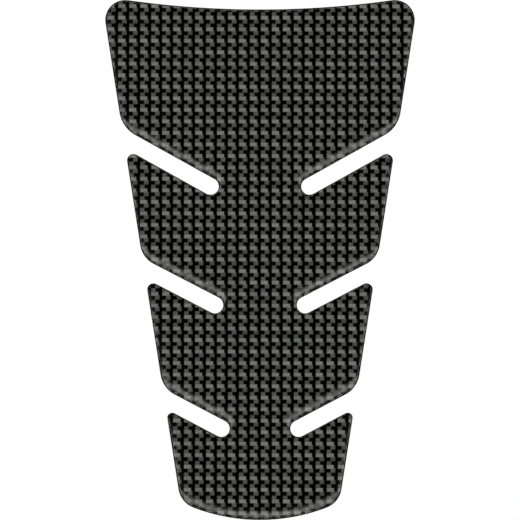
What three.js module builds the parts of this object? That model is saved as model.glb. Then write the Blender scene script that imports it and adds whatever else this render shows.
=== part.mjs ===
import * as THREE from 'three';

// Motorcycle tank pad: a printed self-adhesive film, cut to an outline with relief slots, and a
// clear resin dome that was poured on it and levelled itself. Millimetres and degrees. The pad lies
// flat with its adhesive side down, +Z up and its wide end towards +Y. The origin is under the
// middle of the rectangle that the outline fills.

// Outline
const padLength = 210;
const padWidth = 125;
const sideLean = 8.9;
const topHollowRadius = 380;
const topCornerRadius = 8.1;
const bottomRoundRadius = 75;
const bottomCornerRadius = 9.5;

// Relief slots, cut in and down from both sides, one pair for each row here. The end is the middle
// of the round inner end. The tier above a slot has the wide corner, the tier below it the tip.
const slotWidth = 6.7;
const slots = [
  { slope: 29.1, endFromAxis: 20.0, endFromBottom: 134.7, cornerRadius: 12.7, tipRadius: 2.6 },
  { slope: 27.4, endFromAxis: 18.2, endFromBottom: 86.8, cornerRadius: 10.2, tipRadius: 2.5 },
  { slope: 27.8, endFromAxis: 15.6, endFromBottom: 36.9, cornerRadius: 11.0, tipRadius: 2.0 },
];

// Layers. The resin stops a margin short of the film's cut edge, leaves the film at the contact
// angle and rises to a level top, which starts where its slope is down to the level angle. Its
// contour lines round off at the tips and get no sharper than the contour rounding.
const filmThickness = 0.3;
const domeHeight = 1.7;
const filmMargin = 0.4;
const contactAngle = 52;
const levelAngle = 3;
const contourRounding = 2.3;

// Facets of the round stretches, for half of the outline, and contour lines of the dome
const longArcFacets = 8;
const topCornerFacets = 10;
const bottomCornerFacets = 6;
const wideCornerFacets = 6;
const slotEndFacets = 12;
const tipFacets = 8;
const domeContours = 10;

// Finishes
const printColor = 0x2e2f2e;
const resinColor = 0xeef1f2;

const radians = THREE.MathUtils.degToRad;
const upwards = radians(90);
const leftwards = radians(180);
const downwards = radians(270);

const direction = (angle) => new THREE.Vector2(Math.cos(angle), Math.sin(angle));

// The angle of the way from one point to another, from nothing up to a full turn
const angleBetween = (from, to) => to.clone().sub(from).angle();

// A straight edge through a point, given by the angle of its outward normal
function edgeThrough(point, angle) {
  const normal = direction(angle);
  return { angle, normal, reach: point.dot(normal) };
}

// The point at the same depth inside two straight edges
function pointInside(first, second, depth) {
  const turn = first.normal.cross(second.normal);
  const reach = first.reach - depth;
  const otherReach = second.reach - depth;
  return new THREE.Vector2(
    (reach * second.normal.y - otherReach * first.normal.y) / turn,
    (otherReach * first.normal.x - reach * second.normal.x) / turn,
  );
}

// The point at a depth inside a straight edge on the left, at a distance from a centre above it
function pointBelowCenter(edge, depth, center, distance) {
  const along = direction(edge.angle + upwards);
  const reach = edge.reach - depth;
  const across = reach - center.dot(edge.normal);
  const drop = Math.sqrt(distance ** 2 - across ** 2);
  return edge.normal.clone().multiplyScalar(reach).addScaledVector(along, center.dot(along) + drop);
}

// The points of a round stretch. Its angles are those of the outward normal, in the order in which
// the outline is followed, and its radius is below zero where the edge is hollow.
function roundStretch(center, radius, from, to, facets) {
  const step = (to - from) / facets;
  const normals = Array.from({ length: facets + 1 }, (_, i) => direction(from + step * i));
  return normals.map((normal) => normal.multiplyScalar(radius).add(center));
}

// What the outline is laid out from: the centre of the top corner, which fills the corner of the
// rectangle, the centres of the hollow and the round edge, and the side that leans in below it
const topCorner = new THREE.Vector2(topCornerRadius - padWidth / 2, padLength / 2 - topCornerRadius);
const topCenterRise = Math.sqrt((topHollowRadius + topCornerRadius) ** 2 - topCorner.x ** 2);
const topCenter = new THREE.Vector2(0, topCorner.y + topCenterRise);
const bottomCenter = new THREE.Vector2(0, bottomRoundRadius - padLength / 2);
const sideAngle = leftwards + radians(sideLean);
const sideStart = topCorner.clone().addScaledVector(direction(sideAngle), topCornerRadius);
const sideEdge = edgeThrough(sideStart, sideAngle);

// The radius of a corner on the contour line at an inset from the outline
const contourRadius = (radius, inset) => Math.max(radius - inset, Math.min(radius, contourRounding));

function topStretches(inset) {
  const radius = contourRadius(topCornerRadius, inset);
  const depth = inset + radius;
  const corner = pointBelowCenter(sideEdge, depth, topCenter, topHollowRadius + depth);
  const joint = angleBetween(corner, topCenter);
  return [
    ...roundStretch(topCenter, -topHollowRadius - inset, upwards, joint, longArcFacets),
    ...roundStretch(corner, radius, joint, sideAngle, topCornerFacets),
  ];
}

function slotStretches({ slope, endFromAxis, endFromBottom, cornerRadius, tipRadius }, inset) {
  const end = new THREE.Vector2(-endFromAxis, endFromBottom - padLength / 2);
  const roofAngle = downwards - radians(slope);
  const floorAngle = upwards - radians(slope);
  const halfWidth = slotWidth / 2;
  const roof = edgeThrough(end.clone().addScaledVector(direction(floorAngle), halfWidth), roofAngle);
  const floor = edgeThrough(end.clone().addScaledVector(direction(roofAngle), halfWidth), floorAngle);
  const wide = contourRadius(cornerRadius, inset);
  const wideCenter = pointInside(sideEdge, roof, inset + wide);
  const tip = contourRadius(tipRadius, inset);
  const tipCenter = pointInside(floor, sideEdge, inset + tip);
  return [
    ...roundStretch(wideCenter, wide, sideAngle, roofAngle, wideCornerFacets),
    ...roundStretch(end, -halfWidth - inset, roofAngle, floorAngle, slotEndFacets),
    ...roundStretch(tipCenter, tip, floorAngle, sideAngle, tipFacets),
  ];
}

function bottomStretches(inset) {
  const radius = contourRadius(bottomCornerRadius, inset);
  const depth = inset + radius;
  const corner = pointBelowCenter(sideEdge, depth, bottomCenter, bottomRoundRadius - depth);
  const joint = angleBetween(bottomCenter, corner);
  return [
    ...roundStretch(corner, radius, sideAngle, joint, bottomCornerFacets),
    ...roundStretch(bottomCenter, bottomRoundRadius - inset, joint, downwards, longArcFacets),
  ];
}

// The outline, or the contour line at an inset from it, anticlockwise from the middle of the top
function contour(inset) {
  const leftHalf = [
    ...topStretches(inset),
    ...slots.flatMap((slot) => slotStretches(slot, inset)),
    ...bottomStretches(inset),
  ];
  const rightHalf = leftHalf.slice(1, -1).reverse().map(({ x, y }) => new THREE.Vector2(-x, y));
  return [...leftHalf, ...rightHalf];
}

// The free surface of a liquid, in capillary lengths: how far it lies below its level and how far
// in from its edge, from its slope
const depthBelowLevel = (slope) => 2 * Math.sin(slope / 2);
const distanceIn = (slope) => 2 * Math.cos(radians(contactAngle) / 2) - 2 * Math.cos(slope / 2)
  + Math.log(Math.tan(radians(contactAngle) / 4) / Math.tan(slope / 4));

// The dome's contour lines, from its foot on the film to the rim of its level top
function domeContourLines() {
  const footDepth = depthBelowLevel(radians(contactAngle));
  const capillaryLength = domeHeight / (footDepth - depthBelowLevel(radians(levelAngle)));
  return Array.from({ length: domeContours }, (_, i) => {
    const slope = radians(contactAngle * (levelAngle / contactAngle) ** (i / (domeContours - 1)));
    return {
      points: contour(filmMargin + capillaryLength * distanceIn(slope)),
      z: filmThickness + capillaryLength * (footDepth - depthBelowLevel(slope)),
    };
  });
}

// The triangles of a flat face, turned so that they run anticlockwise
function flatTriangles(points) {
  return THREE.ShapeUtils.triangulateShape(points, []).map(([a, b, c]) =>
    (THREE.ShapeUtils.area([points[a], points[b], points[c]]) > 0 ? [a, b, c] : [a, c, b]));
}

// The triangles between one contour line and the next, where the points of both lie side by side
function slopeTriangles(line, count) {
  return Array.from({ length: count }, (_, i) => {
    const a = line * count + i;
    const b = line * count + ((i + 1) % count);
    return [[a, b, b + count], [a, b + count, a + count]];
  }).flat();
}

function domeGeometry() {
  const lines = domeContourLines();
  const count = lines[0].points.length;
  const last = lines.length - 1;
  const foot = flatTriangles(lines[0].points).map(([a, b, c]) => [a, c, b]);
  const slope = lines.slice(1).flatMap((_, line) => slopeTriangles(line, count));
  const top = flatTriangles(lines[last].points).map((corners) => corners.map((i) => i + last * count));
  const positions = lines.flatMap(({ points, z }) => points.flatMap(({ x, y }) => [x, y, z]));
  const geometry = new THREE.BufferGeometry();
  geometry.setAttribute('position', new THREE.Float32BufferAttribute(positions, 3));
  geometry.setIndex([...foot, ...slope, ...top].flat());
  geometry.computeVertexNormals();
  return geometry;
}

function filmGeometry() {
  const options = { depth: filmThickness, bevelEnabled: false };
  return new THREE.ExtrudeGeometry(new THREE.Shape(contour(0)), options);
}

function piece(name, geometry, finish) {
  const mesh = new THREE.Mesh(geometry, new THREE.MeshStandardMaterial({ metalness: 0, ...finish }));
  mesh.name = name;
  return mesh;
}

const printFinish = { color: printColor, roughness: 0.45 };
const resinFinish = { color: resinColor, roughness: 0.05, transparent: true, opacity: 0.25 };

const group = new THREE.Group();
group.add(piece('printed_film', filmGeometry(), printFinish));
group.add(piece('gel_dome', domeGeometry(), resinFinish));

export default group;
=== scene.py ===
"""Looks of a motorcycle tank pad: a carbon-look print on vinyl film under a clear resin dome.

Metres throughout. The pad lies on a pale floor with its wide end towards +Y, and the camera looks
straight down on it.
"""

import logging
import math
from dataclasses import dataclass, replace
from enum import Enum

import bmesh
import bpy
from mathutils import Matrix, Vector


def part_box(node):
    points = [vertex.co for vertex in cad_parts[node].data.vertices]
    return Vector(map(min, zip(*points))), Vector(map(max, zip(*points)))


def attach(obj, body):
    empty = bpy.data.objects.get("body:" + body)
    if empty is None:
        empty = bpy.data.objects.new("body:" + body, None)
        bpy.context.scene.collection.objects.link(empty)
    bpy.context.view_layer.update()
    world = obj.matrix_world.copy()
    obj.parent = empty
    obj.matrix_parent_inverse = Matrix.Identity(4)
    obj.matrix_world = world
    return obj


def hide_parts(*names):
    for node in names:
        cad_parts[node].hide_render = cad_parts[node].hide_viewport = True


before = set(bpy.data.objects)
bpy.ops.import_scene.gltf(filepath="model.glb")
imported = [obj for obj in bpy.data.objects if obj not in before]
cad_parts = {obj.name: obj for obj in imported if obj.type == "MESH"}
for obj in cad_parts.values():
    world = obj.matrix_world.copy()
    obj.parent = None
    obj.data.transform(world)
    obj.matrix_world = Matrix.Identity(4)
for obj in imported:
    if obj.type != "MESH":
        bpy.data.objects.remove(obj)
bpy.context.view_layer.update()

log = logging.getLogger("tank_pad")

MM = 0.001
UPWARDS = math.radians(90)
LEFTWARDS = math.radians(180)
DOWNWARDS = math.radians(270)
FULL_TURN = math.radians(360)

# How far inside the film's cut edge the resin stops
RESIN_MARGIN = 0.4 * MM

# The colour sockets of a Mix node, whose other sockets have the same names
MIX_FIRST, MIX_SECOND, MIX_RESULT = 6, 7, 2

Color = tuple[float, float, float, float]
WHITE: Color = (1, 1, 1, 1)

# Pairs of an angle and the value there, in the order of the angles
Stops = tuple[tuple[float, float], ...]


class FilmFace(Enum):
    """The faces of the film that have a finish of their own, as material slots."""

    PRINT = 0
    MARGIN = 1
    ADHESIVE = 2


class Ray(Enum):
    """The kinds of ray that a backdrop answers with its own white, as Light Path outputs."""

    CAMERA = "Is Camera Ray"
    GLOSSY = "Is Glossy Ray"
    TRANSMISSION = "Is Transmission Ray"


def direction(angle: float) -> Vector:
    """The unit vector at an angle from +X, in radians."""
    return Vector((math.cos(angle), math.sin(angle)))


def angle_between(start: Vector, end: Vector) -> float:
    """The angle of the way from one point to another, from nothing up to a full turn."""
    way = end - start
    return math.atan2(way.y, way.x) % FULL_TURN


@dataclass(frozen=True)
class Edge:
    """A straight edge: the angle of its outward normal, and how far out it lies along it."""

    angle: float
    reach: float

    @classmethod
    def through(cls, point: Vector, angle: float) -> "Edge":
        """The edge through a point.

        Args:
            point: A point of the edge.
            angle: The angle of its outward normal.

        Returns:
            The edge.
        """
        return cls(angle, point.dot(direction(angle)))

    def point_inside(self, other: "Edge", depth: float) -> Vector:
        """The point at the same depth inside this edge and another.

        Args:
            other: The other edge.
            depth: How far inside both the point lies.

        Returns:
            The point.
        """
        first, second = direction(self.angle), direction(other.angle)
        turn = first.cross(second)
        reach, other_reach = self.reach - depth, other.reach - depth
        return Vector((
            (reach * second.y - other_reach * first.y) / turn,
            (other_reach * first.x - reach * second.x) / turn,
        ))

    def point_below(self, center: Vector, depth: float, distance: float) -> Vector:
        """The point inside this edge, at a distance from a centre above it.

        Args:
            center: The centre.
            depth: How far inside the edge the point lies.
            distance: How far from the centre it lies.

        Returns:
            The point.
        """
        normal, along = direction(self.angle), direction(self.angle + UPWARDS)
        reach = self.reach - depth
        drop = math.sqrt(distance ** 2 - (reach - center.dot(normal)) ** 2)
        return normal * reach + along * (center.dot(along) + drop)


@dataclass(frozen=True)
class Slot:
    """A pair of relief slots. The end is the middle of the round inner end of the left one."""

    slope: float
    end_from_axis: float
    end_from_bottom: float
    corner_radius: float
    tip_radius: float


@dataclass(frozen=True)
class PadOutline:
    """The cut outline of the pad, and the contour lines inside it that the resin follows.

    Its sizes are those of the CAD pad, and its round stretches have more facets.
    """

    length: float = 210 * MM
    width: float = 125 * MM
    side_lean: float = math.radians(8.9)
    top_hollow_radius: float = 380 * MM
    top_corner_radius: float = 8.1 * MM
    bottom_round_radius: float = 75 * MM
    bottom_corner_radius: float = 9.5 * MM
    slot_width: float = 6.7 * MM
    slots: tuple[Slot, ...] = (
        Slot(
            slope=math.radians(29.1),
            end_from_axis=20.0 * MM,
            end_from_bottom=134.7 * MM,
            corner_radius=12.7 * MM,
            tip_radius=2.6 * MM,
        ),
        Slot(
            slope=math.radians(27.4),
            end_from_axis=18.2 * MM,
            end_from_bottom=86.8 * MM,
            corner_radius=10.2 * MM,
            tip_radius=2.5 * MM,
        ),
        Slot(
            slope=math.radians(27.8),
            end_from_axis=15.6 * MM,
            end_from_bottom=36.9 * MM,
            corner_radius=11.0 * MM,
            tip_radius=2.0 * MM,
        ),
    )
    contour_rounding: float = 2.3 * MM
    long_arc_facets: int = 24
    corner_facets: int = 20
    slot_end_facets: int = 28
    straight_step: float = 4 * MM
    same_point: float = 0.001 * MM

    def contour_radius(self, radius: float, inset: float) -> float:
        """The radius of a corner on the contour line at an inset.

        Args:
            radius: The corner's radius on the outline.
            inset: How far inside the outline the contour line runs.

        Returns:
            The radius there, which gets no sharper than the contour rounding.
        """
        return max(radius - inset, min(radius, self.contour_rounding))

    @staticmethod
    def arc(center: Vector, radius: float, start: float, end: float, facets: int) -> list[Vector]:
        """The points of a round stretch.

        Args:
            center: Its centre.
            radius: Its radius, below zero where the edge is hollow.
            start: The angle of the outward normal where it starts.
            end: The same where it ends.
            facets: How many facets it has.

        Returns:
            The points, in the order in which the outline is followed.
        """
        step = (end - start) / facets
        return [center + direction(start + step * i) * radius for i in range(facets + 1)]

    def side(self) -> Edge:
        """The straight side on the left, which leans in below the top corner.

        Returns:
            The side.
        """
        corner = self.top_corner()
        angle = LEFTWARDS + self.side_lean
        return Edge.through(corner + direction(angle) * self.top_corner_radius, angle)

    def top_corner(self) -> Vector:
        """The centre of the top left corner."""
        radius = self.top_corner_radius
        return Vector((radius - self.width / 2, self.length / 2 - radius))

    def top_arcs(self, inset: float) -> list[Vector]:
        """The left half of the hollow top edge and the corner beside it.

        Args:
            inset: How far inside the outline they run.

        Returns:
            Their points, from the middle of the top edge on.
        """
        corner = self.top_corner()
        reach = self.top_hollow_radius + self.top_corner_radius
        center = Vector((0, corner.y + math.sqrt(reach ** 2 - corner.x ** 2)))
        side = self.side()
        radius = self.contour_radius(self.top_corner_radius, inset)
        depth = inset + radius
        middle = side.point_below(center, depth, self.top_hollow_radius + depth)
        joint = angle_between(middle, center)
        hollow = -self.top_hollow_radius - inset
        return [
            *self.arc(center, hollow, UPWARDS, joint, self.long_arc_facets),
            *self.arc(middle, radius, joint, side.angle, self.corner_facets),
        ]

    def slot_arcs(self, slot: Slot, inset: float) -> list[Vector]:
        """The wide corner above a left slot, its round end and the tip below it.

        Args:
            slot: The slot.
            inset: How far inside the outline they run.

        Returns:
            Their points, from the wide corner on.
        """
        side = self.side()
        end = Vector((-slot.end_from_axis, slot.end_from_bottom - self.length / 2))
        half_width = self.slot_width / 2
        roof_angle, floor_angle = DOWNWARDS - slot.slope, UPWARDS - slot.slope
        roof = Edge.through(end + direction(floor_angle) * half_width, roof_angle)
        floor = Edge.through(end + direction(roof_angle) * half_width, floor_angle)
        wide = self.contour_radius(slot.corner_radius, inset)
        tip = self.contour_radius(slot.tip_radius, inset)
        wide_center = side.point_inside(roof, inset + wide)
        tip_center = floor.point_inside(side, inset + tip)
        return [
            *self.arc(wide_center, wide, side.angle, roof_angle, self.corner_facets),
            *self.arc(end, -half_width - inset, roof_angle, floor_angle, self.slot_end_facets),
            *self.arc(tip_center, tip, floor_angle, side.angle, self.corner_facets),
        ]

    def bottom_arcs(self, inset: float) -> list[Vector]:
        """The bottom left corner and the left half of the round bottom edge.

        Args:
            inset: How far inside the outline they run.

        Returns:
            Their points, down to the middle of the bottom edge.
        """
        side = self.side()
        center = Vector((0, self.bottom_round_radius - self.length / 2))
        radius = self.contour_radius(self.bottom_corner_radius, inset)
        depth = inset + radius
        middle = side.point_below(center, depth, self.bottom_round_radius - depth)
        joint = angle_between(center, middle)
        outer = self.bottom_round_radius - inset
        return [
            *self.arc(middle, radius, side.angle, joint, self.corner_facets),
            *self.arc(center, outer, joint, DOWNWARDS, self.long_arc_facets),
        ]

    def turns(self, inset: float) -> list[Vector]:
        """The points of the round stretches of the left half, from the top down."""
        slots = [point for slot in self.slots for point in self.slot_arcs(slot, inset)]
        return [*self.top_arcs(inset), *slots, *self.bottom_arcs(inset)]

    def contour(self, inset: float) -> list[Vector]:
        """The outline, or the contour line inside it, with points along its straight parts too.

        Args:
            inset: How far inside the outline it runs.

        Returns:
            The points, anticlockwise from the middle of the top edge. There are as many at every
            inset, and they lie side by side. A point that two round stretches share is there once.
        """
        turns, lengths = self.turns(inset), self.turns(0)
        left = [turns[0]]
        for i in range(1, len(turns)):
            length = (lengths[i] - lengths[i - 1]).length
            if length < self.same_point:
                continue
            pieces = max(1, round(length / self.straight_step))
            left += [turns[i - 1].lerp(turns[i], k / pieces) for k in range(1, pieces + 1)]
        right = [Vector((-point.x, point.y)) for point in reversed(left[1:-1])]
        return left + right


@dataclass(frozen=True)
class Meniscus:
    """The edge of a liquid that levelled itself, from its foot up to where it is level.

    How far in it runs is worked out for a dome that is cut off level where the CAD's is. It goes
    on to a smaller slope than that, and its rise is fitted to the height.
    """

    height: float
    contact_angle: float = math.radians(42)
    cad_level_angle: float = math.radians(3)
    level_angle: float = math.radians(1)
    steps: int = 26

    @staticmethod
    def depth(slope: float) -> float:
        """How far below its level the surface lies at a slope, in capillary lengths."""
        return 2 * math.sin(slope / 2)

    def run(self, slope: float) -> float:
        """How far in from the foot the surface has a slope, in capillary lengths."""
        turned = math.log(math.tan(self.contact_angle / 4) / math.tan(slope / 4))
        return turned + 2 * math.cos(self.contact_angle / 2) - 2 * math.cos(slope / 2)

    def profile(self) -> list[tuple[float, float]]:
        """The surface's edge from the foot in.

        Returns:
            Pairs of the distance in from the foot and the height above it.
        """
        foot = self.depth(self.contact_angle)
        length = self.height / (foot - self.depth(self.cad_level_angle))
        stretch = self.height / (foot - self.depth(self.level_angle))
        ratio = (self.level_angle / self.contact_angle) ** (1 / self.steps)
        slopes = [self.contact_angle * ratio ** i for i in range(self.steps + 1)]
        return [(length * self.run(s), stretch * (foot - self.depth(s))) for s in slopes]


@dataclass(frozen=True)
class Wiring:
    """A node tree, with short ways to add nodes to it and to join them."""

    tree: bpy.types.NodeTree

    def add(self, kind: str, **settings: object) -> bpy.types.Node:
        """Adds a node.

        Args:
            kind: The node's type.
            settings: Properties to set on it.

        Returns:
            The node.
        """
        node = self.tree.nodes.new(kind)
        for name, value in settings.items():
            setattr(node, name, value)
        return node

    def feed(self, socket: bpy.types.NodeSocket, value: object) -> None:
        """Gives an input its value.

        Args:
            socket: The input.
            value: An output to join to it, or a plain value.
        """
        if isinstance(value, bpy.types.NodeSocket):
            self.tree.links.new(value, socket)
        else:
            socket.default_value = value

    def fill(self, node: bpy.types.Node, **values: object) -> bpy.types.Node:
        """Gives a node's inputs their values.

        Args:
            node: The node.
            values: Outputs or values for its inputs, with _ for each space in their names.

        Returns:
            The node.
        """
        for name, value in values.items():
            self.feed(node.inputs[name.replace("_", " ")], value)
        return node

    def curve(self, angle: bpy.types.NodeSocket, stops: Stops) -> bpy.types.NodeSocket:
        """A value that follows an angle smoothly from stop to stop.

        Args:
            angle: The angle, from nothing up to half a turn.
            stops: The stops, from nothing up to half a turn.

        Returns:
            The value.
        """
        node = self.add("ShaderNodeFloatCurve")
        self.feed(node.inputs["Value"], self.math("DIVIDE", angle, math.pi))
        peak = max(value for _, value in stops)
        marks = [(at / math.pi, value / peak) for at, value in stops]
        points = node.mapping.curves[0].points
        points[0].location, points[1].location = marks[0], marks[-1]
        for mark in marks[1:-1]:
            points.new(*mark)
        node.mapping.update()
        return self.math("MULTIPLY", node.outputs[0], peak)

    def math(self, operation: str, *values: object) -> bpy.types.NodeSocket:
        """The result of a Math node.

        Args:
            operation: Its operation.
            values: Outputs or numbers for its inputs.

        Returns:
            Its output.
        """
        node = self.add("ShaderNodeMath", operation=operation)
        for socket, value in zip(node.inputs, values):
            self.feed(socket, value)
        return node.outputs[0]

    def smooth_step(self, value: object, start: object, end: object) -> bpy.types.NodeSocket:
        """How far a value has gone from a start to an end.

        Args:
            value: The value.
            start: Where the start is.
            end: Where the end is.

        Returns:
            A number from 0 to 1, with soft ends.
        """
        node = self.add("ShaderNodeMapRange", interpolation_type="SMOOTHSTEP")
        return self.fill(node, Value=value, From_Min=start, From_Max=end).outputs["Result"]

    def blend(
        self, mask: object, first: object, second: object, kind: str = "MIX"
    ) -> bpy.types.NodeSocket:
        """Two colours in one.

        Args:
            mask: How far the second one is blended in, from 0 to 1.
            first: The first colour.
            second: The second one.
            kind: How it is blended in.

        Returns:
            The colour.
        """
        node = self.fill(self.add("ShaderNodeMix", data_type="RGBA", blend_type=kind), Factor=mask)
        self.feed(node.inputs[MIX_FIRST], first)
        self.feed(node.inputs[MIX_SECOND], second)
        return node.outputs[MIX_RESULT]

    def noise(self, where: object, scale: object, detail: float) -> bpy.types.NodeSocket:
        """A noise between 0 and 1.

        Args:
            where: The place to read it at.
            scale: How many times it changes along a metre.
            detail: How many finer layers it has.

        Returns:
            The noise.
        """
        node = self.add("ShaderNodeTexNoise")
        return self.fill(node, Vector=where, Scale=scale, Detail=detail).outputs["Fac"]

    def bumps(self, height: object, strength: float, rise: float) -> bpy.types.NodeSocket:
        """The normals of a surface with bumps.

        Args:
            height: The bumps' height, from 0 to 1.
            strength: How strongly they show.
            rise: How far the highest ones rise.

        Returns:
            The normals.
        """
        node = self.add("ShaderNodeBump")
        return self.fill(node, Strength=strength, Distance=rise, Height=height).outputs[0]

    def shader_mix(
        self, mask: object, first: bpy.types.Node, second: bpy.types.Node
    ) -> bpy.types.NodeSocket:
        """One shader or another.

        Args:
            mask: 0 for the first one, and 1 for the second.
            first: The first shader's node.
            second: The second one's.

        Returns:
            The shader.
        """
        node = self.add("ShaderNodeMixShader")
        for socket, value in zip(node.inputs, (mask, first.outputs[0], second.outputs[0])):
            self.feed(socket, value)
        return node.outputs[0]

    def group(self, tree: bpy.types.NodeTree, **values: object) -> bpy.types.Node:
        """Places a node group, with values for its inputs."""
        return self.fill(self.add("ShaderNodeGroup", node_tree=tree), **values)


@dataclass(frozen=True)
class GroupSocket:
    """An input or output of a node group."""

    name: str
    kind: str = "NodeSocketFloat"
    value: object = None


def new_group(
    name: str, inputs: list[GroupSocket], outputs: list[GroupSocket]
) -> tuple[Wiring, bpy.types.Node, bpy.types.Node]:
    """Makes an empty node group.

    Args:
        name: Its name.
        inputs: What is fed to it.
        outputs: What it puts out.

    Returns:
        Its wiring, the node that holds its inputs and the node that takes its outputs.
    """
    tree = bpy.data.node_groups.new(name, "ShaderNodeTree")
    for in_out, sockets in (("INPUT", inputs), ("OUTPUT", outputs)):
        for entry in sockets:
            made = tree.interface.new_socket(entry.name, in_out=in_out, socket_type=entry.kind)
            if entry.value is not None:
                made.default_value = entry.value
    wiring = Wiring(tree)
    return wiring, wiring.add("NodeGroupInput"), wiring.add("NodeGroupOutput")


def grain_group() -> bpy.types.NodeTree:
    """The fine grain of calendered film and of cast coats.

    Returns:
        A group that takes a place, the grain's size and its strength, and puts out a height for
        bumps and a tone of about 1 for colours.
    """
    grain_detail = 3.0
    patches_a_metre, patch_detail, patch_share = 70.0, 2.0, 0.5
    wiring, given, out = new_group(
        "fine grain",
        [
            GroupSocket("Place", "NodeSocketVector"),
            GroupSocket("Grains A Metre"),
            GroupSocket("Tone Change"),
        ],
        [GroupSocket("Height"), GroupSocket("Tone")],
    )
    place = given.outputs["Place"]
    fine = wiring.noise(place, given.outputs["Grains A Metre"], grain_detail)
    patch = wiring.noise(place, patches_a_metre, patch_detail)
    both = wiring.math("ADD", wiring.math("MULTIPLY", patch, patch_share), fine)
    swing = wiring.math("SUBTRACT", both, (patch_share + 1) / 2)
    change = wiring.math("MULTIPLY", swing, given.outputs["Tone Change"])
    wiring.fill(out, Height=fine, Tone=wiring.math("ADD", change, 1.0))
    return wiring.tree


def band_group() -> bpy.types.NodeTree:
    """The mask of one band of a repeating pattern.

    Returns:
        A group that takes a place counted in repeats, the band's middle, half its width and the
        softness of its edges, and puts out 1 on the band and 0 off it.
    """
    wiring, given, out = new_group(
        "repeated band",
        [
            GroupSocket("Place"),
            GroupSocket("Middle"),
            GroupSocket("Half Width"),
            GroupSocket("Softness"),
        ],
        [GroupSocket("Mask")],
    )
    half_repeat = 0.5
    shifted = wiring.math("SUBTRACT", given.outputs["Place"], given.outputs["Middle"])
    turned = wiring.math("FRACT", wiring.math("ADD", shifted, half_repeat))
    off = wiring.math("ABSOLUTE", wiring.math("SUBTRACT", turned, half_repeat))
    width, softness = given.outputs["Half Width"], given.outputs["Softness"]
    outer = wiring.math("ADD", width, softness)
    inner = wiring.math("SUBTRACT", width, softness)
    wiring.feed(out.inputs["Mask"], wiring.smooth_step(off, outer, inner))
    return wiring.tree


@dataclass(frozen=True)
class TowBlock:
    """Where one float of a tow shows in a repeat of the weave, in repeats from its left and top."""

    left: float
    right: float
    top: float
    bottom: float

    def mask(
        self,
        wiring: Wiring,
        band: bpy.types.NodeTree,
        across: bpy.types.NodeSocket,
        down: bpy.types.NodeSocket,
        softness: float,
    ) -> bpy.types.NodeSocket:
        """The block's mask.

        Args:
            wiring: The tree to lay it in.
            band: The group of the repeated band.
            across: The place across, in repeats.
            down: The place downwards, in repeats.
            softness: How far the edges fade on each side, in repeats.

        Returns:
            An output that is 1 on the block.
        """
        spans = ((across, self.left, self.right), (down, self.top, self.bottom))
        bands = [
            wiring.group(
                band,
                Place=place,
                Middle=(start + end) / 2,
                Half_Width=(end - start) / 2,
                Softness=softness,
            ).outputs["Mask"]
            for place, start, end in spans
        ]
        return wiring.math("MULTIPLY", *bands)


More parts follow.
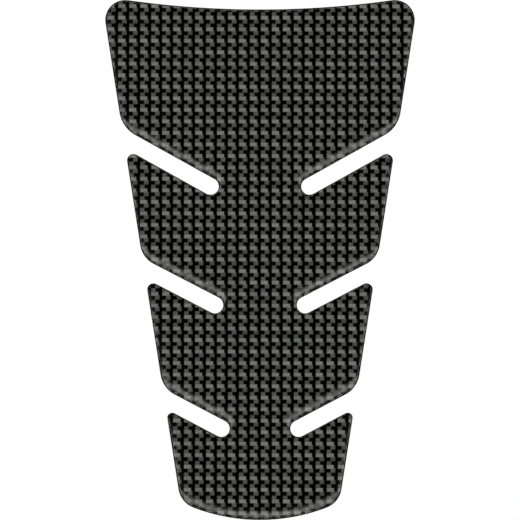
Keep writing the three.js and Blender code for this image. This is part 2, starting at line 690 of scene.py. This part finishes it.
@dataclass(frozen=True)
class CarbonWeave:
    """A printed carbon weave: long light wefts, and two short darker warps below each of them.

    A place's tone is the sum of three noises in their shares: from tow to tow, from filament to
    filament and in broad patches. At the full tone it is printed in its tow's own colour.
    """

    repeat_width: float = 4.4277 * MM
    repeat_height: float = 4.646 * MM
    start_x: float = 0.281 * MM
    start_y: float = 0.998 * MM
    row_slope: float = 0.0015
    weft: TowBlock = TowBlock(left=0.030, right=0.658, top=0.022, bottom=0.333)
    right_warp: TowBlock = TowBlock(left=0.369, right=0.772, top=0.300, bottom=0.668)
    left_warp: TowBlock = TowBlock(left=0.030, right=0.420, top=0.697, bottom=1.030)
    softness: float = 0.042
    weft_color: Color = (0.177, 0.179, 0.1735, 1)
    warp_color: Color = (0.0808, 0.0825, 0.0768, 1)
    gap_color: Color = (0.0007, 0.0009, 0.0005, 1)
    changes_across_filaments: float = 3000.0
    changes_along_filaments: float = 1800.0
    patches_a_metre: float = 60.0
    tow_share: float = 0.5
    filament_share: float = 1.7
    patch_share: float = 0.4
    full_tone: float = 1.55
    tow_change: float = 0.6

    def group(self) -> bpy.types.NodeTree:
        """The weave as a node group.

        Returns:
            A group that takes a place in metres and puts out the print's colour and its tows.
        """
        wiring, given, out = new_group(
            "carbon weave",
            [
                GroupSocket("Place", "NodeSocketVector"),
                GroupSocket("Tow Change", value=self.tow_change),
            ],
            [GroupSocket("Color", "NodeSocketColor"), GroupSocket("Tows")],
        )
        place = given.outputs["Place"]
        split = wiring.add("ShaderNodeSeparateXYZ")
        wiring.feed(split.inputs[0], place)
        from_start = wiring.math("SUBTRACT", split.outputs["X"], self.start_x)
        sunk = wiring.math("MULTIPLY", split.outputs["X"], self.row_slope)
        below_start = wiring.math(
            "SUBTRACT", self.start_y, wiring.math("ADD", split.outputs["Y"], sunk))
        across = wiring.math("DIVIDE", from_start, self.repeat_width)
        down = wiring.math("DIVIDE", below_start, self.repeat_height)
        band = band_group()
        weft, right, left = (
            block.mask(wiring, band, across, down, self.softness)
            for block in (self.weft, self.right_warp, self.left_warp)
        )
        warp = wiring.math("MAXIMUM", right, left)
        fine, coarse = self.changes_across_filaments, self.changes_along_filaments
        warp_tone = self.tow_tone(wiring, given, across, down, (fine, coarse, 1.0))
        weft_tone = self.tow_tone(wiring, given, across, down, (coarse, fine, 1.0))
        warp_mask = wiring.math("MULTIPLY", warp, warp_tone)
        weft_mask = wiring.math("MULTIPLY", weft, weft_tone)
        warps = wiring.blend(warp_mask, self.gap_color, self.warp_color)
        color = wiring.blend(weft_mask, warps, self.weft_color)
        wiring.fill(out, Color=color, Tows=wiring.math("MAXIMUM", weft, warp))
        return wiring.tree

    def tow_tone(
        self,
        wiring: Wiring,
        given: bpy.types.Node,
        across: bpy.types.NodeSocket,
        down: bpy.types.NodeSocket,
        stretch: tuple[float, float, float],
    ) -> bpy.types.NodeSocket:
        """How strongly the tows of one direction are printed.

        Args:
            wiring: The tree to lay it in.
            given: The node that holds the group's inputs.
            across: The place across, in repeats.
            down: The place downwards, in repeats.
            stretch: How often the filaments change along a metre in each direction.

        Returns:
            A number up to about 1 that changes from tow to tow, along the filaments and over
            broad patches.
        """
        place = given.outputs["Place"]
        # The stretch sets the noise of the warps apart from that of the wefts
        which = wiring.fill(
            wiring.add("ShaderNodeCombineXYZ"),
            X=wiring.math("FLOOR", across),
            Y=wiring.math("FLOOR", down),
            Z=stretch[0],
        )
        tow = wiring.fill(wiring.add("ShaderNodeTexWhiteNoise"), Vector=which.outputs[0])
        stretched = wiring.add("ShaderNodeVectorMath", operation="MULTIPLY")
        wiring.feed(stretched.inputs[0], place)
        wiring.feed(stretched.inputs[1], stretch)
        filament = wiring.noise(stretched.outputs[0], scale=1.0, detail=1.0)
        patch = wiring.noise(place, self.patches_a_metre, detail=1.0)
        shares = (
            (tow.outputs["Value"], self.tow_share),
            (patch, self.patch_share),
            (filament, self.filament_share),
        )
        tows, patches, filaments = (wiring.math("MULTIPLY", *share) for share in shares)
        total = wiring.math("ADD", tows, wiring.math("ADD", patches, filaments))
        swing = wiring.math("SUBTRACT", total, self.full_tone)
        return wiring.math("ADD", wiring.math("MULTIPLY", swing, given.outputs["Tow Change"]), 1.0)


def new_material(name: str) -> tuple[bpy.types.Material, Wiring, bpy.types.Node]:
    """Makes an empty node material.

    Args:
        name: Its name.

    Returns:
        The material, its wiring and its output node.
    """
    material = bpy.data.materials.new(name)
    material.use_nodes = True
    material.node_tree.nodes.clear()
    wiring = Wiring(material.node_tree)
    return material, wiring, wiring.add("ShaderNodeOutputMaterial")


@dataclass(frozen=True)
class PrintFinish:
    """The carbon-look print on the film, which the resin wets, so it has no shine of its own."""

    weave: CarbonWeave = CarbonWeave()
    roughness: float = 0.5
    grains_a_metre: float = 6000.0
    tone_change: float = 0.08
    bump_strength: float = 0.05
    tow_rise: float = 0.02 * MM

    def material(self, grain: bpy.types.NodeTree) -> bpy.types.Material:
        """Builds the finish.

        Args:
            grain: The group of the fine grain.

        Returns:
            The material.
        """
        material, wiring, out = new_material("carbon print")
        place = wiring.add("ShaderNodeTexCoord").outputs["Object"]
        weave = wiring.group(self.weave.group(), Place=place)
        grains = wiring.group(
            grain, Place=place, Grains_A_Metre=self.grains_a_metre, Tone_Change=self.tone_change)
        tone = grains.outputs["Tone"]
        shader = wiring.fill(
            wiring.add("ShaderNodeBsdfPrincipled"),
            Base_Color=wiring.blend(1.0, weave.outputs["Color"], tone, "MULTIPLY"),
            Roughness=wiring.math("MULTIPLY", tone, self.roughness),
            Specular_IOR_Level=0.0,
            Normal=wiring.bumps(weave.outputs["Tows"], self.bump_strength, self.tow_rise),
        )
        wiring.feed(out.inputs["Surface"], shader.outputs[0])
        return material


@dataclass(frozen=True)
class CoatFinish:
    """An opaque coat with a fine grain: the film's bare black vinyl, or its adhesive."""

    name: str
    color: Color
    roughness: float
    grains_a_metre: float
    tone_change: float
    grain_rise: float
    bump_strength: float = 0.3

    def material(self, grain: bpy.types.NodeTree) -> bpy.types.Material:
        """Builds the finish.

        Args:
            grain: The group of the fine grain.

        Returns:
            The material.
        """
        material, wiring, out = new_material(self.name)
        place = wiring.add("ShaderNodeTexCoord").outputs["Object"]
        grains = wiring.group(
            grain, Place=place, Grains_A_Metre=self.grains_a_metre, Tone_Change=self.tone_change)
        tone = grains.outputs["Tone"]
        shader = wiring.fill(
            wiring.add("ShaderNodeBsdfPrincipled"),
            Base_Color=wiring.blend(1.0, self.color, tone, "MULTIPLY"),
            Roughness=wiring.math("MULTIPLY", tone, self.roughness),
            Normal=wiring.bumps(grains.outputs["Height"], self.bump_strength, self.grain_rise),
        )
        wiring.feed(out.inputs["Surface"], shader.outputs[0])
        return material


@dataclass(frozen=True)
class ResinFinish:
    """Clear cast resin with a hard glossy skin. Lamps reach the print as if it weren't there."""

    color: Color = (0.985, 0.99, 0.985, 1)
    ior: float = 1.52
    skin_ior: float = 1.8
    roughness: float = 0.04
    ripples_a_metre: float = 45.0
    ripple_rise: float = 0.01 * MM
    ripple_strength: float = 0.5
    hazes_a_metre: float = 300.0
    haze_detail: float = 3.0
    least_haze: float = 0.5

    def material(self) -> bpy.types.Material:
        """Builds the finish.

        Returns:
            The material.
        """
        material, wiring, out = new_material("clear resin")
        place = wiring.add("ShaderNodeTexCoord").outputs["Object"]
        ripple = wiring.noise(place, self.ripples_a_metre, detail=1.0)
        normals = wiring.bumps(ripple, self.ripple_strength, self.ripple_rise)
        haze = wiring.noise(place, self.hazes_a_metre, self.haze_detail)
        haze_tone = wiring.math("ADD", haze, self.least_haze)
        rough = wiring.math("MULTIPLY", haze_tone, self.roughness)
        resin = wiring.fill(
            wiring.add("ShaderNodeBsdfPrincipled"),
            Base_Color=self.color,
            Transmission_Weight=1.0,
            IOR=self.ior,
            Roughness=rough,
            Normal=normals,
            Coat_Weight=1.0,
            Coat_IOR=self.skin_ior,
            Coat_Roughness=rough,
            Coat_Normal=normals,
        )
        rays = wiring.add("ShaderNodeLightPath").outputs
        lamp = wiring.math("MAXIMUM", rays["Is Shadow Ray"], rays["Is Diffuse Ray"])
        passing = wiring.add("ShaderNodeBsdfTransparent")
        wiring.feed(out.inputs["Surface"], wiring.shader_mix(lamp, resin, passing))
        return material


def outline_ring(
    bm: bmesh.types.BMesh, points: list[Vector], height: float
) -> list[bmesh.types.BMVert]:
    """Adds a closed ring of edges.

    Args:
        bm: The mesh to add it to.
        points: Its points, anticlockwise from above.
        height: How high it lies.

    Returns:
        Its vertices.
    """
    ring = [bm.verts.new((*point, height)) for point in points]
    for start, end in zip(ring, ring[1:] + ring[:1]):
        bm.edges.new((start, end))
    return ring


def raise_ring(
    bm: bmesh.types.BMesh, ring: list[bmesh.types.BMVert], points: list[Vector], height: float
) -> list[bmesh.types.BMVert]:
    """Draws the next ring out of a ring with the extrude operator.

    Args:
        bm: The mesh.
        ring: The ring's vertices.
        points: Where the vertices of the next ring go.
        height: How high it lies.

    Returns:
        The next ring's vertices, in the same order.
    """
    edges = [bm.edges.get(pair) for pair in zip(ring, ring[1:] + ring[:1])]
    grown = bmesh.ops.extrude_edge_only(bm, edges=edges)["geom"]
    new = {item for item in grown if isinstance(item, bmesh.types.BMVert)}
    upper = [
        next(edge.other_vert(vert) for edge in vert.link_edges if edge.other_vert(vert) in new)
        for vert in ring
    ]
    for vert, point in zip(upper, points):
        vert.co = (*point, height)
    return upper


def placed(name: str, data: bpy.types.ID) -> bpy.types.Object:
    """Puts something in the scene.

    Args:
        name: The object's name.
        data: Its mesh, lamp or camera.

    Returns:
        The object.
    """
    made = bpy.data.objects.new(name, data)
    bpy.context.scene.collection.objects.link(made)
    return made


def placed_mesh(
    name: str, bm: bmesh.types.BMesh, materials: list[bpy.types.Material]
) -> bpy.types.Object:
    """Puts a mesh in the scene.

    Args:
        name: The name of its object and of the mesh.
        bm: The mesh, which is freed.
        materials: Its materials, in the order of its slots.

    Returns:
        The object.
    """
    mesh = bpy.data.meshes.new(name)
    bm.to_mesh(mesh)
    bm.free()
    for material in materials:
        mesh.materials.append(material)
    return placed(name, mesh)


def finished_piece(
    name: str, bm: bmesh.types.BMesh, materials: list[bpy.types.Material], node: str
) -> bpy.types.Object:
    """Makes a mesh an object that stands for a node of model.glb.

    Args:
        name: The object's name.
        bm: Its mesh, which is freed.
        materials: Its materials, in the order of its slots.
        node: The node that it stands for.

    Returns:
        The object.
    """
    bmesh.ops.recalc_face_normals(bm, faces=bm.faces)
    piece = placed_mesh(name, bm, materials)
    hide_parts(node)
    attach(piece, "root")
    log.info("%s: %d faces", name, len(piece.data.polygons))
    return piece


@dataclass(frozen=True)
class PrintedFilm:
    """The printed vinyl film, with its adhesive coat below and a bare margin round the resin."""

    outline: PadOutline = PadOutline()
    margin: float = RESIN_MARGIN
    print_finish: PrintFinish = PrintFinish()
    vinyl: CoatFinish = CoatFinish(
        name="black vinyl",
        color=(0.0012, 0.0013, 0.0012, 1),
        roughness=0.3,
        grains_a_metre=14000.0,
        tone_change=0.3,
        grain_rise=0.004 * MM,
    )
    adhesive: CoatFinish = CoatFinish(
        name="adhesive coat",
        color=(0.055, 0.055, 0.053, 1),
        roughness=0.34,
        grains_a_metre=2500.0,
        tone_change=0.5,
        grain_rise=0.02 * MM,
    )

    def build(self) -> bpy.types.Object:
        """Builds and dresses the film.

        Returns:
            The piece.
        """
        low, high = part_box("printed_film")
        bm = bmesh.new()
        bottom = bm.faces.new(outline_ring(bm, self.outline.contour(0), low.z))
        bottom.material_index = FilmFace.ADHESIVE.value
        grown = bmesh.ops.extrude_face_region(bm, geom=[bottom], use_keep_orig=True)["geom"]
        verts = [item for item in grown if isinstance(item, bmesh.types.BMVert)]
        bmesh.ops.translate(bm, verts=verts, vec=(0, 0, high.z - low.z))
        top = next(item for item in grown if isinstance(item, bmesh.types.BMFace))
        for face in bm.faces:
            if face not in (bottom, top):
                face.material_index = FilmFace.MARGIN.value
        rim = bmesh.ops.inset_region(
            bm, faces=[top], thickness=self.margin, use_even_offset=True)["faces"]
        for face in rim:
            face.material_index = FilmFace.MARGIN.value
        top.material_index = FilmFace.PRINT.value
        return finished_piece("printed_vinyl_film", bm, self.materials(), "printed_film")

    def materials(self) -> list[bpy.types.Material]:
        """The film's finishes, in the order of its faces' slots."""
        grain = grain_group()
        return [finish.material(grain) for finish in (self.print_finish, self.vinyl, self.adhesive)]


@dataclass(frozen=True)
class ResinDome:
    """The clear resin poured on the film, which levelled itself and stops at the film's margin."""

    outline: PadOutline = PadOutline()
    margin: float = RESIN_MARGIN
    wetting: float = 0.03 * MM
    finish: ResinFinish = ResinFinish()

    def build(self) -> bpy.types.Object:
        """Builds and dresses the dome.

        Returns:
            The piece. Its underside lies a little inside the film, so that the two faces that the
            resin wets aren't in one place.
        """
        low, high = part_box("gel_dome")
        bm = bmesh.new()
        ring = outline_ring(bm, self.outline.contour(self.margin), low.z - self.wetting)
        bm.faces.new(ring)
        for inward, rise in Meniscus(height=high.z - low.z).profile():
            points = self.outline.contour(self.margin + inward)
            ring = raise_ring(bm, ring, points, low.z + rise)
        # The slopes, whose faces have four corners, are smooth, and the two level faces are flat
        for face in bm.faces:
            face.smooth = len(face.verts) == 4
        bm.faces.new(ring)
        return finished_piece("clear_resin_dome", bm, [self.finish.material()], "gel_dome")


@dataclass(frozen=True)
class SoftStrip:
    """A long soft light beside the pad, which shows only in gloss.

    Its stops give its brightness across its middle, by the angle from straight up. Its bend gives
    the share of that angle's tangent that counts away from its middle, so that both its ends come
    down to the floor. It fades between two bearings away from its middle, and between two angles
    from straight up.
    """

    facing: float
    bend: Stops
    bearings: tuple[float, float]
    lows: tuple[float, float]
    stops: Stops

    def radiance(
        self,
        wiring: Wiring,
        toward: tuple[bpy.types.NodeSocket, bpy.types.NodeSocket, bpy.types.NodeSocket],
    ) -> bpy.types.NodeSocket:
        """How bright the light is in a direction.

        Args:
            wiring: The world's tree.
            toward: The direction's X, Y and Z.

        Returns:
            The brightness.
        """
        x, y, z = toward
        off = wiring.math("SUBTRACT", wiring.math("ARCTAN2", y, x), self.facing)
        away = wiring.math("ABSOLUTE", wiring.math("WRAP", off, math.pi, -math.pi))
        aside = wiring.math("SQRT", wiring.math("SUBTRACT", 1.0, wiring.math("MULTIPLY", z, z)))
        bent = wiring.curve(away, self.bend)
        over = wiring.math("ARCTAN2", wiring.math("MULTIPLY", aside, bent), z)
        across = wiring.curve(over, self.stops)
        wide = wiring.smooth_step(away, self.bearings[1], self.bearings[0])
        high = wiring.smooth_step(wiring.math("ARCCOSINE", z), self.lows[1], self.lows[0])
        return wiring.math("MULTIPLY", across, wiring.math("MULTIPLY", wide, high))


def by_degrees(*pairs: tuple[float, float]) -> Stops:
    """Stops from pairs of an angle in degrees and a value."""
    return tuple((math.radians(angle), value) for angle, value in pairs)


FRONT_BEND = by_degrees(
    (0, 0.80), (12, 0.85), (22, 0.96), (30, 1.0), (45, 0.83), (60, 0.57), (72, 0.30),
    (81, 0.12), (88, 0.03), (95, 0), (180, 0),
)
FRONT_STOPS = by_degrees(
    (0, 0), (14, 0.0035), (18, 0.021), (23, 0.106), (27, 0.375), (32, 0.65), (38, 0.83),
    (44, 0.815), (53, 0.53), (59, 0.215), (63, 0.098), (69, 0.02), (76, 0.004), (180, 0),
)
ROUND_BEND = by_degrees((0, 1), (22, 0.85), (45, 0.5), (68, 0.15), (90, 0), (180, 0))
SIDE_STOPS = by_degrees(
    (0, 0), (20, 0.0018), (27, 0.007), (32, 0.0123), (37, 0.0158), (44, 0.023), (52, 0.0335),
    (63, 0.067), (76, 0.127), (90, 0.21), (180, 0.21),
)
BACK_STOPS = by_degrees(
    (0, 0), (70, 0), (76, 0.007), (80, 0.032), (85, 0.07), (90, 0.106), (180, 0.106))

# A strip with these lows doesn't fade downwards, as no direction lies past them
NO_FADE = (math.radians(180), math.radians(181))


@dataclass(frozen=True)
class Studio:
    """The pale floor, the lamp, the soft light around and the camera straight above."""

    floor_size: float = 3.0
    floor_drop: float = 0.05 * MM
    floor_color: Color = (0.8, 0.8, 0.8, 1)
    backdrop_share: float = 0.85
    lamp_height: float = 1.7
    lamp_size: float = 1.3
    lamp_power: float = 34.3
    zenith_glow: float = 0.0021
    front: SoftStrip = SoftStrip(
        facing=math.radians(-90),
        bend=FRONT_BEND,
        bearings=(math.radians(88), math.radians(90)),
        lows=(math.radians(60), math.radians(96)),
        stops=FRONT_STOPS,
    )
    left: SoftStrip = SoftStrip(
        facing=math.radians(-163),
        bend=ROUND_BEND,
        bearings=(math.radians(25), math.radians(48)),
        lows=NO_FADE,
        stops=SIDE_STOPS,
    )
    right: SoftStrip = replace(left, facing=math.radians(-17))
    back: SoftStrip = SoftStrip(
        facing=math.radians(90),
        bend=ROUND_BEND,
        bearings=(math.radians(60), math.radians(90)),
        lows=NO_FADE,
        stops=BACK_STOPS,
    )
    lens: float = 200.0
    sensor: float = 36.0
    view_width: float = 210.05 * MM
    clip_end: float = 10.0

    def build(self) -> None:
        """Builds the floor, the lamp, the world and the camera."""
        self.floor()
        self.lamp()
        self.world()
        self.camera()

    @staticmethod
    def seen(wiring: Wiring, rays: tuple[Ray, ...]) -> bpy.types.NodeSocket:
        """The rays that a backdrop answers with its own white.

        Args:
            wiring: The tree to lay the mask in.
            rays: The kinds of ray.

        Returns:
            A mask that is 1 for these rays.
        """
        outputs = wiring.add("ShaderNodeLightPath").outputs
        mask = outputs[rays[0].value]
        for ray in rays[1:]:
            mask = wiring.math("MAXIMUM", mask, outputs[ray.value])
        return mask

    def floor(self) -> None:
        """Lays the pale floor, which is white to the camera and keeps the pad's shadow."""
        bm = bmesh.new()
        bmesh.ops.create_grid(bm, x_segments=1, y_segments=1, size=self.floor_size / 2)
        bmesh.ops.translate(bm, verts=bm.verts, vec=(0, 0, -self.floor_drop))
        floor = placed_mesh("floor", bm, [self.floor_finish()])

    def floor_finish(self) -> bpy.types.Material:
        """Builds the floor's finish.

        Returns:
            The material.
        """
        material, wiring, out = new_material("pale floor")
        share = 1 - self.backdrop_share
        lit = wiring.fill(wiring.add("ShaderNodeBsdfDiffuse"), Color=self.floor_color)
        shaded = wiring.fill(wiring.add("ShaderNodeBsdfDiffuse"), Color=(share, share, share, 1))
        white = wiring.fill(wiring.add("ShaderNodeEmission"), Strength=self.backdrop_share)
        backdrop = wiring.add("ShaderNodeAddShader")
        wiring.feed(backdrop.inputs[0], shaded.outputs[0])
        wiring.feed(backdrop.inputs[1], white.outputs[0])
        mixed = wiring.shader_mix(self.seen(wiring, tuple(Ray)), lit, backdrop)
        wiring.feed(out.inputs["Surface"], mixed)
        return material

    def lamp(self) -> None:
        """Hangs the big soft lamp above the pad, which doesn't show in the pad's gloss."""
        data = bpy.data.lights.new("overhead lamp", "AREA")
        data.size = self.lamp_size
        data.energy = self.lamp_power
        lamp = placed("overhead lamp", data)
        lamp.location = (0, 0, self.lamp_height)
        lamp.visible_glossy = False
        lamp.visible_transmission = False

    def world(self) -> None:
        """Sets the soft light around, with a white backdrop for the camera."""
        world = bpy.data.worlds.new("studio")
        world.use_nodes = True
        world.node_tree.nodes.clear()
        bpy.context.scene.world = world
        wiring = Wiring(world.node_tree)
        split = wiring.add("ShaderNodeSeparateXYZ")
        wiring.feed(split.inputs[0], wiring.add("ShaderNodeTexCoord").outputs["Generated"])
        toward = (split.outputs["X"], split.outputs["Y"], split.outputs["Z"])
        glow: object = self.zenith_glow
        for strip in (self.front, self.left, self.right, self.back):
            glow = wiring.math("ADD", glow, strip.radiance(wiring, toward))
        around = wiring.fill(wiring.add("ShaderNodeBackground"), Color=WHITE, Strength=glow)
        backdrop = wiring.fill(wiring.add("ShaderNodeBackground"), Color=WHITE)
        seen = self.seen(wiring, (Ray.CAMERA, Ray.TRANSMISSION))
        out = wiring.add("ShaderNodeOutputWorld")
        wiring.feed(out.inputs["Surface"], wiring.shader_mix(seen, around, backdrop))

    def camera(self) -> None:
        """Hangs the camera straight above the pad, with +Y up in the picture."""
        data = bpy.data.cameras.new("camera")
        data.lens = self.lens
        data.sensor_width = self.sensor
        data.clip_end = self.clip_end
        camera = placed("camera", data)
        camera.location = (0, 0, self.lens / self.sensor * self.view_width)
        bpy.context.scene.camera = camera


def main() -> None:
    """Builds the studio and the pad's pieces in order."""
    logging.basicConfig(level=logging.INFO, format="%(name)s: %(message)s")
    scene = bpy.context.scene
    scene.view_settings.view_transform = "Standard"
    Studio().build()
    PrintedFilm().build()
    ResinDome().build()


if __name__ == "__main__":
    main()
